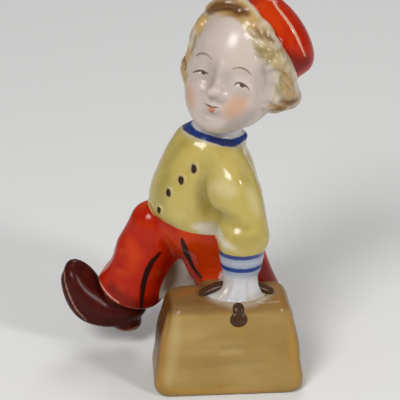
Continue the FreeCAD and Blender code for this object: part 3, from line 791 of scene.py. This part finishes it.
# The face's outline on the head: what is seen in pixels, and what is hidden in degrees aside
# and up from straight ahead
FACE_EDGE = ((188, 84), (187.5, 72), (190, 62), (194, 54), (197, 45), (199, 37), (201, 29),
             (206, 21), (213, 16), (224, 13), (234, 17), (241, 25), (247, 33), (251, 42),
             (255, 52), (263, 59), (271, 63), (275, 74), (274, 90), (271, 103), (266, 111),
             (258, 120))
HIDDEN_FACE_EDGE = ((45, -100), (20, -130), (-25, -130), (-50, -95), (-58, -62))
DEGREE = math.radians(1) * HEAD_RADIUS


def spread(points):
    """Places round the head laid flat: aside and up, as arcs from the facing direction."""
    ways = points - HEAD_CENTRE
    ways /= np.linalg.norm(ways, axis=1)[:, None]
    aside, ahead, up = ways @ HEAD_SIDE, ways @ FACING, ways @ HEAD_UP
    arc = np.arccos(np.clip(ahead, -1, 1)) * HEAD_RADIUS
    flat = np.maximum(np.hypot(aside, up), SMALL)
    return np.stack([arc * aside / flat, arc * up / flat], axis=1)


def outline_gap(points, corners):
    """Signed distance to a closed outline, negative inside."""
    gap = np.full(len(points), BAND * HEAD_RADIUS)
    inside = np.zeros(len(points), bool)
    for a, b in zip(corners, np.roll(corners, -1, axis=0)):
        way = b - a
        along = np.clip((points - a) @ way / (way @ way), 0, 1)
        gap = np.minimum(gap, np.linalg.norm(points - a - along[:, None] * way, axis=1))
        crosses = (a[1] > points[:, 1]) != (b[1] > points[:, 1])
        rise = way[1] if way[1] else SMALL
        inside ^= crosses & (points[:, 0] < a[0] + (points[:, 1] - a[1]) * way[0] / rise)
    return np.where(inside, -gap, gap)


seen_edge = spread(np.array([spot(x, y)[0] for x, y in FACE_EDGE]))
face_edge = np.concatenate([seen_edge, np.array(HIDDEN_FACE_EDGE) * DEGREE])
near = np.nonzero(np.linalg.norm(skin - HEAD_CENTRE, axis=1) < 2 * HEAD_RADIUS)[0]
flat = spread(skin[near])
lay("face", near, np.clip(outline_gap(flat, face_edge), -EDGE, EDGE))
# Directions for the hair's streaks: round the head and down from under the cap
for layer, values in (("round", flat[:, 0]), ("down", flat[:, 1])):
    marks[layer] = np.zeros(len(skin), np.float32)
    marks[layer][near] = values

# Raised and hollow places: the depth of the skin in a softer figure
softer = Field(body.low, (1, 1, 1))
softer.values = blurred(np.clip(body.values, -BAND, BAND), 1 / VOXEL)
marks["relief"] = softer.sample(skin).astype(np.float32)

start = 0
for name in soft_names:
    end = start + len(skins[name])
    for layer, values in marks.items():
        if np.any(values[start:end]):
            layer_data = pieces[name].data.attributes.new(layer, "FLOAT", "POINT").data
            layer_data.foreach_set("value", values[start:end])
    start = end


# Materials
class Glaze:
    """A glazed surface whose colour is built up by washes and strokes."""

    def __init__(self, name, colour, coat, coat_roughness, specular):
        self.material = bpy.data.materials.new(name)
        self.material.use_nodes = True
        self.tree = self.material.node_tree
        self.shader = self.tree.nodes["Principled BSDF"]
        self.colour = (*colour, 1)
        settings = {"Base Color": self.colour, "Roughness": 0.34, "Specular IOR Level": specular,
                    "Coat Weight": coat, "Coat IOR": 1.36, "Coat Roughness": coat_roughness}
        for socket, value in settings.items():
            self.feed(self.shader.inputs[socket], value)
        self.object_place = self.node("ShaderNodeTexCoord").outputs["Object"]

    def node(self, kind, sockets=None, **settings):
        """A new node with its settings, and with its sockets set or linked."""
        made = self.tree.nodes.new(kind)
        for key, value in settings.items():
            setattr(made, key, value)
        for socket, value in (sockets or {}).items():
            self.feed(made.inputs[socket], value)
        return made

    def feed(self, socket, value):
        """Links a socket to another, or sets its value."""
        if isinstance(value, bpy.types.NodeSocket):
            self.tree.links.new(value, socket)
        else:
            socket.default_value = value

    def maths(self, kind, a, b):
        return self.node("ShaderNodeMath", {0: a, 1: b}, operation=kind).outputs[0]

    def both(self, a, b):
        """One value times another: of two shares, what they have in common."""
        return self.maths("MULTIPLY", a, b)

    def noise(self, size, detail=2.0, stretch=(1, 1, 1), place=None):
        """Noise from 0 to 1 about a half, with its size in millimetres."""
        sockets = {"Scale": stretch, "Vector": place or self.object_place}
        mapping = self.node("ShaderNodeMapping", sockets)
        sockets = {"Scale": 1 / (size * MM), "Detail": detail, "Vector": mapping.outputs[0]}
        return self.node("ShaderNodeTexNoise", sockets).outputs[0]

    def attribute(self, layer):
        return self.node("ShaderNodeAttribute", attribute_name=layer).outputs["Fac"]

    def ramp(self, value, low, high):
        """From 0 at the low value to 1 at the high one, smoothly."""
        sockets = {"Value": value, "From Min": low, "From Max": high}
        return self.node("ShaderNodeMapRange", sockets, interpolation_type="SMOOTHSTEP").outputs[0]

    def mark(self, layer, soft=0.14, wobble=0.3, size=0.8):
        """How far a stroke covers a place, with an uneven edge."""
        rough = self.both(self.maths("SUBTRACT", self.noise(size), 0.5), wobble)
        return self.ramp(self.maths("ADD", self.attribute(layer), rough), EDGE - soft, EDGE + soft)

    def along(self, axis, low, high):
        """From 0 to 1 between two places along an axis, in millimetres."""
        split = self.node("ShaderNodeSeparateXYZ", {0: self.object_place})
        return self.ramp(split.outputs[axis], low * MM, high * MM)

    def facing_left(self, low, high):
        """From 0 to 1 as the surface turns toward the object's left end."""
        normal = self.node("ShaderNodeTexCoord").outputs["Normal"]
        split = self.node("ShaderNodeSeparateXYZ", {0: normal})
        return self.ramp(split.outputs["X"], -low, -high)

    def paint(self, colour, share, strength):
        """A colour over what is there, where the share says."""
        # The mix node's share and colours, by their places among its sockets
        sockets = {0: self.both(share, strength), 6: self.colour, 7: (*colour, 1)}
        self.colour = self.node("ShaderNodeMix", sockets, data_type="RGBA").outputs[2]
        self.feed(self.shader.inputs["Base Color"], self.colour)

    def brush(self, layer, colour, strength, **edge):
        """A layer's strokes in one colour."""
        self.paint(colour, self.mark(layer, **edge), strength)

    def wash(self, layer, colour, strength, outside=2.4, inside=0.6):
        """A soft cloud from outside to inside a layer's strokes, in millimetres from their edge."""
        self.paint(colour, self.ramp(self.attribute(layer), EDGE - outside, EDGE + inside), strength)

    def mottle(self, light, dark, size=3.0, strength=0.5):
        """Uneven thickness of a colour: lighter and darker clouds."""
        self.paint(light, self.ramp(self.noise(size), 0.5, 0.8), strength)
        self.paint(dark, self.ramp(self.noise(size * 0.8, detail=3.0), 0.5, 0.2), strength)

    def shade_hollows(self, colour, strength=0.6):
        """Painted shade in the hollows, where the glaze also gathers as a thin film of colour."""
        self.paint(colour, self.ramp(self.attribute("relief"), -0.08, -0.5), strength)

    def ridges(self, colour, strength, low=0.30, high=0.60):
        """Colour worn thin on raised places."""
        self.paint(colour, self.ramp(self.attribute("relief"), low, high), strength)

    def speckle(self, colour, strength):
        """Small specks in the glaze."""
        self.paint(colour, self.ramp(self.noise(0.35, detail=1.0), 0.76, 0.82), strength)

    def ripple(self):
        """The glaze's faint unevenness."""
        sockets = {"Strength": 0.12, "Distance": 0.2 * MM, "Height": self.noise(1.6, detail=1.0)}
        self.feed(self.shader.inputs["Coat Normal"], self.node("ShaderNodeBump", sockets).outputs[0])


# Colours used in more than one place, and the buttons' ovals
BAND_BLUE = (0.003, 0.018, 0.13)
LINE_BLUE = (0.004, 0.025, 0.19)
BAG_BROWN = (0.060, 0.027, 0.013)
BUTTON_OVAL = Vector((0.66, 1.2, 1.15))
BUTTON_SIZES = (1.0, 1.0, 0.95, 0.85)


def paint_head(glaze):
    """Face and hair are one glazed surface, so that paint runs across their seams."""
    glaze.mottle((0.60, 0.52, 0.46), (0.46, 0.375, 0.33), size=4.0)
    # Painted shade in the hollows
    glaze.shade_hollows((0.33, 0.28, 0.25), 0.55)
    glaze.wash("blush", (0.54, 0.25, 0.105), 0.58, outside=2.6, inside=0.8)
    # Painted shade beside the nose, under the eyes and jaw, and on the temple
    glaze.wash("painted_face_shade", (0.37, 0.31, 0.28), 0.6, outside=2.2, inside=0.8)
    hair = glaze.maths("SUBTRACT", 1.0, glaze.mark("face", 0.35, 0.9, 1.5))
    around, down = (glaze.both(glaze.attribute(layer), MM) for layer in ("round", "down"))
    streak_place = glaze.node("ShaderNodeCombineXYZ", {0: around, 1: down}).outputs[0]
    streaks = glaze.noise(1.1, stretch=(1, 0.22, 1), place=streak_place)
    clouds = glaze.noise(4.5, detail=1.0)
    glaze.paint((0.56, 0.47, 0.34), hair, 0.85)
    glaze.paint((0.42, 0.30, 0.12), glaze.both(hair, glaze.ramp(clouds, 0.42, 0.62)), 0.8)
    glaze.paint((0.30, 0.17, 0.04), glaze.both(hair, glaze.ramp(streaks, 0.54, 0.72)), 0.5)
    glaze.paint((0.60, 0.53, 0.42), glaze.both(hair, glaze.ramp(streaks, 0.42, 0.28)), 0.6)
    glaze.brush("ochre", (0.46, 0.27, 0.085), 0.85, soft=1.0, wobble=0.9, size=1.8)
    glaze.brush("olive", (0.23, 0.17, 0.045), 0.75, soft=0.6, wobble=0.6, size=1.4)
    glaze.brush("brown", (0.115, 0.042, 0.006), 0.97, soft=1.0, wobble=0.8, size=1.5)
    glaze.brush("lip", (0.46, 0.14, 0.055), 0.85, soft=0.14, wobble=0.2)
    glaze.brush("white", (0.68, 0.64, 0.62), 0.9, soft=0.10, wobble=0.1)
    glaze.brush("brow", (0.14, 0.085, 0.035), 0.82, soft=0.15, wobble=0.16, size=0.5)
    glaze.brush("line", (0.060, 0.026, 0.014), 0.92, soft=0.13, wobble=0.16, size=0.5)
    glaze.speckle((0.30, 0.22, 0.16), 0.35)
    glaze.ripple()


def paint_jacket(glaze):
    """Thin yellow that bares the white at the hem, with the blue lines' edges."""
    glaze.mottle((0.52, 0.425, 0.16), (0.41, 0.30, 0.06), size=5.0, strength=0.7)
    glaze.brush("worn", (0.62, 0.57, 0.46), 0.88, soft=1.2, wobble=1.4, size=2.0)
    # Painted shade in the creases
    glaze.wash("crease_shade", (0.36, 0.28, 0.07), 0.75, outside=1.6)
    # Painted highlights on the sleeve
    glaze.wash("painted_highlight", (0.62, 0.53, 0.27), 0.7, outside=2.0, inside=1.4)
    # Painted shade in the hollows
    glaze.shade_hollows((0.34, 0.25, 0.06))
    glaze.brush("halo", (0.60, 0.53, 0.36), 0.7, soft=0.35, wobble=0.5)
    glaze.wash("band", (0.50, 0.47, 0.40), 0.6, outside=0.8, inside=-0.2)
    glaze.brush("band", BAND_BLUE, 0.97, soft=0.14, wobble=0.35, size=1.4)
    glaze.brush("blue", LINE_BLUE, 0.95)
    glaze.speckle((0.28, 0.19, 0.06), 0.5)
    glaze.ripple()


def paint_white(glaze):
    """Hands, cuffs and neck, with the blue lines and a bluish painted shade beside them."""
    glaze.mottle((0.60, 0.60, 0.61), (0.46, 0.44, 0.43))
    # Painted shade in the hollows
    glaze.shade_hollows((0.33, 0.30, 0.28))
    # Warm painted shade down the sides of the hand
    glaze.wash("hand_side_shade", (0.40, 0.34, 0.25), 0.7, outside=2.0, inside=1.0)
    # Bluish painted shade on the white beside the blue lines
    glaze.wash("blue", (0.27, 0.32, 0.42), 0.85, inside=-0.2)
    glaze.brush("blue", LINE_BLUE, 0.95)
    glaze.speckle((0.25, 0.20, 0.15), 0.5)
    glaze.ripple()


def paint_collar(glaze):
    """White, with the blue band in two depths of blue."""
    glaze.mottle((0.54, 0.53, 0.53), (0.42, 0.39, 0.36), size=2.0, strength=0.6)
    # Painted shade in the hollows
    glaze.shade_hollows((0.30, 0.25, 0.22), 0.5)
    blue = glaze.mark("band", 0.14, 0.35, 1.4)
    glaze.paint(BAND_BLUE, blue, 0.97)
    glaze.paint((0.006, 0.05, 0.26), glaze.both(blue, glaze.ramp(glaze.noise(2.0), 0.50, 0.68)), 0.8)
    glaze.ripple()


def paint_red(glaze):
    """Cap and trousers: red to orange, with pale edges and dark stripes."""
    glaze.mottle((0.52, 0.055, 0.005), (0.30, 0.007, 0.001), size=4.5, strength=0.7)
    # Painted shade in the hollows
    glaze.shade_hollows((0.18, 0.005, 0.001), 0.7)
    # Painted shade
    glaze.wash("red_shade", (0.16, 0.004, 0.001), 0.85)
    # Brighter orange: partly the glaze's own orange, partly painted light on the seat, knee and cap
    glaze.wash("orange", (0.56, 0.045, 0.002), 0.7, inside=1.6)
    glaze.brush("bare", (0.50, 0.36, 0.31), 0.9, soft=0.4, wobble=0.6)
    glaze.brush("pale", (0.62, 0.36, 0.24), 0.8, soft=0.15, wobble=0.35)
    glaze.ridges((0.52, 0.12, 0.05), 0.4, high=0.55)
    glaze.brush("stripe", (0.010, 0.006, 0.006), 0.96, soft=0.15, wobble=0.35)
    glaze.speckle((0.10, 0.006, 0.003), 0.6)
    glaze.ripple()


def paint_shoe(glaze):
    """Dark maroon, thin on the edges."""
    glaze.mottle((0.09, 0.008, 0.004), (0.020, 0.002, 0.002), strength=0.7)
    glaze.brush("pale", (0.34, 0.19, 0.12), 0.8, soft=0.15, wobble=0.4)
    glaze.ridges((0.28, 0.10, 0.05), 0.55, low=0.32)
    glaze.speckle((0.22, 0.10, 0.05), 0.6)
    glaze.ripple()


def paint_bag(glaze):
    """Tan brushed along the bag, brown on its top, with painted shade on its left end, stains and
    runs.
    """
    clouds = glaze.noise(9.0, stretch=(0.6, 1, 1))
    brushed = glaze.noise(3.0, detail=3.0, stretch=(0.2, 1, 1))
    glaze.paint((0.40, 0.28, 0.105), glaze.ramp(clouds, 0.45, 0.70), 0.7)
    glaze.paint((0.28, 0.17, 0.045), glaze.ramp(clouds, 0.48, 0.28), 0.6)
    glaze.paint((0.40, 0.28, 0.105), glaze.ramp(brushed, 0.52, 0.70), 0.45)
    glaze.paint((0.27, 0.165, 0.045), glaze.ramp(brushed, 0.46, 0.30), 0.4)
    top = glaze.along("Z", 20.8, 22.5)
    glaze.paint((0.20, 0.105, 0.035), top, 0.85)
    patches = glaze.ramp(glaze.noise(4.0, detail=1.0), 0.45, 0.75)
    glaze.paint((0.12, 0.055, 0.018), glaze.both(top, patches), 0.3)
    # Painted shade on the left end where it faces left, fading toward the base
    left_end_shade = glaze.both(glaze.facing_left(0.45, 0.85), glaze.along("Z", 3.0, 11.0))
    glaze.paint((0.10, 0.038, 0.006), left_end_shade, 0.94)
    glaze.paint((0.27, 0.16, 0.04), glaze.along("X", 0, 16), 0.45)
    glaze.ridges((0.34, 0.22, 0.07), 0.6)
    # Rust-brown patches on the top and base, and painted shade on the top's right corner
    glaze.brush("rust_and_shade", (0.30, 0.12, 0.025), 0.7, soft=1.0, wobble=1.0, size=1.5)
    # Painted highlights on the bag's front
    glaze.wash("painted_highlight", (0.46, 0.33, 0.14), 0.6, outside=1.4, inside=1.0)
    glaze.wash("warm", (0.42, 0.225, 0.05), 0.75, outside=1.6, inside=1.2)
    glaze.brush("smear", (0.25, 0.175, 0.07), 0.55, soft=0.9, wobble=1.2, size=2.0)
    glaze.wash("stain", (0.34, 0.23, 0.045), 0.5, outside=1.2)
    glaze.brush("run", (0.46, 0.40, 0.32), 0.6, soft=1.0, wobble=1.0, size=1.5)
    glaze.brush("strap", (0.10, 0.045, 0.02), 0.9, soft=0.4, wobble=0.6)
    glaze.speckle((0.12, 0.06, 0.02), 0.7)
    glaze.ripple()


def paint_brown(glaze):
    """Handle and clasp."""
    glaze.mottle(tuple(1.7 * part for part in BAG_BROWN), (0.020, 0.009, 0.005), 0.9, 0.8)
    glaze.speckle(tuple(3 * part for part in BAG_BROWN), 0.5)


def paint_buttons(glaze):
    """A dark oval brushed on the middle of each yellow button."""
    # At first farther off than an oval reaches
    nearest = 9.0
    for middle, size in zip(button_middles, BUTTON_SIZES):
        away = glaze.node("ShaderNodeVectorMath", {0: glaze.object_place, 1: middle * MM},
                          operation="SUBTRACT").outputs[0]
        shaped = glaze.node("ShaderNodeVectorMath", {0: away, 1: size * BUTTON_OVAL * MM},
                            operation="DIVIDE").outputs[0]
        length = glaze.node("ShaderNodeVectorMath", {0: shaped}, operation="LENGTH")
        nearest = glaze.maths("MINIMUM", length.outputs["Value"], nearest)
    rough = glaze.both(glaze.noise(0.7), 0.5)
    oval = glaze.ramp(glaze.maths("ADD", nearest, rough), 1.4, 1.15)
    glaze.paint((0.022, 0.006, 0.005), oval, 0.97)
    glaze.ripple()


def paint_clay(glaze):
    """Bare grey clay between the legs, with painted shade where it is deepest."""
    glaze.mottle((0.50, 0.46, 0.43), (0.28, 0.21, 0.16), size=3.5, strength=0.7)
    # Painted shade in the hollows
    glaze.shade_hollows((0.20, 0.13, 0.08), 0.7)
    glaze.wash("shade", (0.11, 0.055, 0.025), 0.95)
    glaze.speckle((0.12, 0.06, 0.03), 0.6)
    glaze.ripple()


# Each slot's painter, its first colour, its coat's weight and roughness, and the gloss under it
GLAZES = {
    "bag_tan": (paint_bag, (0.33, 0.212, 0.062), 0.55, 0.2, 0),
    "bag_brown": (paint_brown, BAG_BROWN, 0.55, 0.2, 0),
    "white_clay": (paint_white, (0.53, 0.52, 0.53), 0.7, 0.12, 0),
    "jacket_yellow": (paint_jacket, (0.47, 0.365, 0.095), 1.0, 0.13, 0.15),
    "button_brown": (paint_buttons, (0.50, 0.40, 0.15), 0.45, 0.15, 0),
    "collar_blue": (paint_collar, (0.50, 0.49, 0.49), 0.7, 0.12, 0),
    "face_glaze": (paint_head, (0.55, 0.455, 0.395), 0.9, 0.22, 0.1),
    "hair_blond": (paint_head, (0.55, 0.455, 0.395), 0.9, 0.22, 0.1),
    "red_orange": (paint_red, (0.42, 0.014, 0.001), 0.65, 0.12, 0),
    "bare_clay": (paint_clay, (0.40, 0.34, 0.29), 0.5, 0.2, 0.05),
    "shoe_maroon": (paint_shoe, (0.052, 0.005, 0.003), 0.5, 0.28, 0),
}
materials = {}
for name, (paint, *look) in GLAZES.items():
    glaze = Glaze(name, *look)
    paint(glaze)
    materials[name] = glaze.material
for name, node in frame["nodes"].items():
    shown = pieces.get(name, node)
    shown.data.materials.clear()
    shown.data.materials.append(materials[slots[name]])

# Stage in metres: each lamp's place, size and power
LAMPS = {
    "key": ((-0.35, -0.55, 0.65), 0.30, 5.2),
    "fill": ((0.50, -0.45, 0.45), 0.14, 2.2),
    "rim": ((0.1, 0.6, 0.7), 0.4, 2.0),
}
LAMP_TARGET = Vector((0, 0.01, 0.045))
FLOOR_REACH = 3.0


def add_lamp(name, place, size, power):
    """A square lamp that looks at the figure."""
    data = bpy.data.lights.new(name, "AREA")
    data.size = size
    data.energy = power
    lamp = add_object(name, data)
    lamp.location = place
    lamp.rotation_euler = (LAMP_TARGET - Vector(place)).to_track_quat("-Z", "Y").to_euler()


def add_world():
    """Soft light from everywhere."""
    world = bpy.data.worlds.new("studio")
    bpy.context.scene.world = world
    world.use_nodes = True
    background = world.node_tree.nodes["Background"]
    background.inputs["Color"].default_value = (0.85, 0.85, 0.86, 1)
    background.inputs["Strength"].default_value = 0.22


def add_floor():
    """A plain pale floor."""
    mesh = bpy.data.meshes.new("floor")
    low, high = -FLOOR_REACH, FLOOR_REACH
    corners = [(low, low, 0), (high, low, 0), (high, high, 0), (low, high, 0)]
    mesh.from_pydata(corners, [], [(0, 1, 2, 3)])
    floor = add_object("floor", mesh)
    material = bpy.data.materials.new("floor")
    material.use_nodes = True
    shader = material.node_tree.nodes["Principled BSDF"]
    shader.inputs["Base Color"].default_value = (0.75, 0.75, 0.74, 1)
    shader.inputs["Roughness"].default_value = 0.8
    mesh.materials.append(material)


def add_camera():
    """The camera at the photograph's place and angle."""
    data = bpy.data.cameras.new("camera")
    data.sensor_width = SENSOR_WIDTH
    data.sensor_fit = "HORIZONTAL"
    data.lens = SENSOR_WIDTH * FOCAL_PIXELS / PHOTO_WIDTH
    data.clip_start = CLIP_START
    camera = add_object("camera", data)
    rows = [(*axes, place * MM) for *axes, place in zip(RIGHT, ABOVE, BACK, EYE)]
    camera.matrix_world = Matrix((*rows, (0, 0, 0, 1)))
    bpy.context.scene.camera = camera


for name, (place, size, power) in LAMPS.items():
    add_lamp(name, place, size, power)
add_world()
add_floor()
add_camera()
bpy.context.scene.view_settings.view_transform = "Standard"
